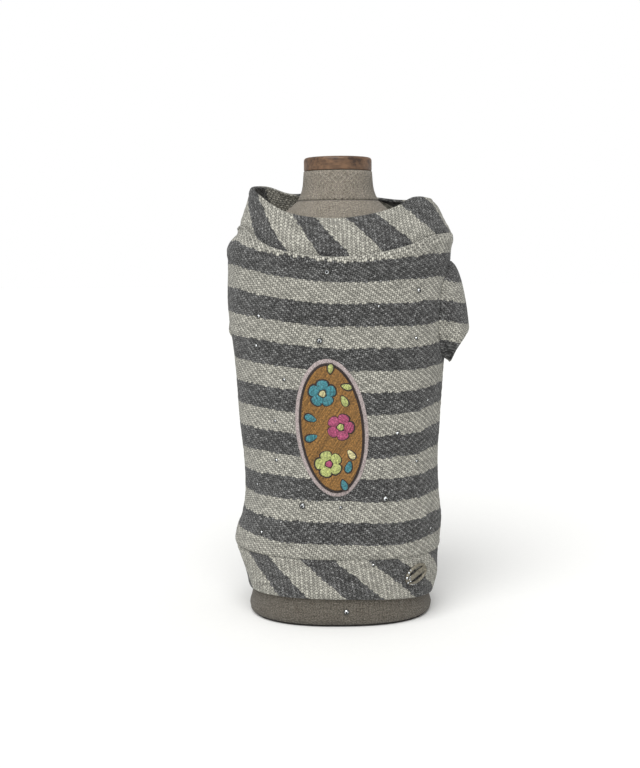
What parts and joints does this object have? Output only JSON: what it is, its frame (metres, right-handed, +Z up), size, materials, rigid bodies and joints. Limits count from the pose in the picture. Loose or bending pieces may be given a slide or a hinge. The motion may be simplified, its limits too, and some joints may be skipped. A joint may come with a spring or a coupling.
{
  "type": "dog t-shirt on a dress form",
  "caption": "Striped terry dog t-shirt with a cowl collar, cap sleeves, a bias hem band and an oval patch, worn by a small limbless linen dress form with a wooden neck cap.",
  "frame": {"origin": "middle of the underside of the form's base board", "axes": "+Z up, -Y out of the panel with the patch, +X to the right as that panel is looked at"},
  "size_m": [0.1632, 0.1198, 0.304],
  "materials": {
    "base_board": "thin fibreboard, stained dark",
    "linen": "natural linen, plain weave, stretched over the form",
    "turned_wood": "turned hardwood, brown stain, satin",
    "striped_terry": "cotton loop-back terry, light and dark grey stripes",
    "bias_terry": "the same striped terry cut on the bias and doubled",
    "embroidered_felt": "satin-stitched felt patch",
    "nickel": "nickel-plated casting"
  },
  "bodies": {
    "root": {"base_board": "base_board", "form_body": "linen", "neck_cap": "turned_wood", "back_panel": "striped_terry", "belly_panel": "striped_terry", "sleeve_right": "striped_terry", "sleeve_left": "striped_terry", "cowl_collar": "bias_terry", "hem_band": "bias_terry", "applique_patch": "embroidered_felt", "slider_charm": "nickel"}
  },
  "joints": []
}
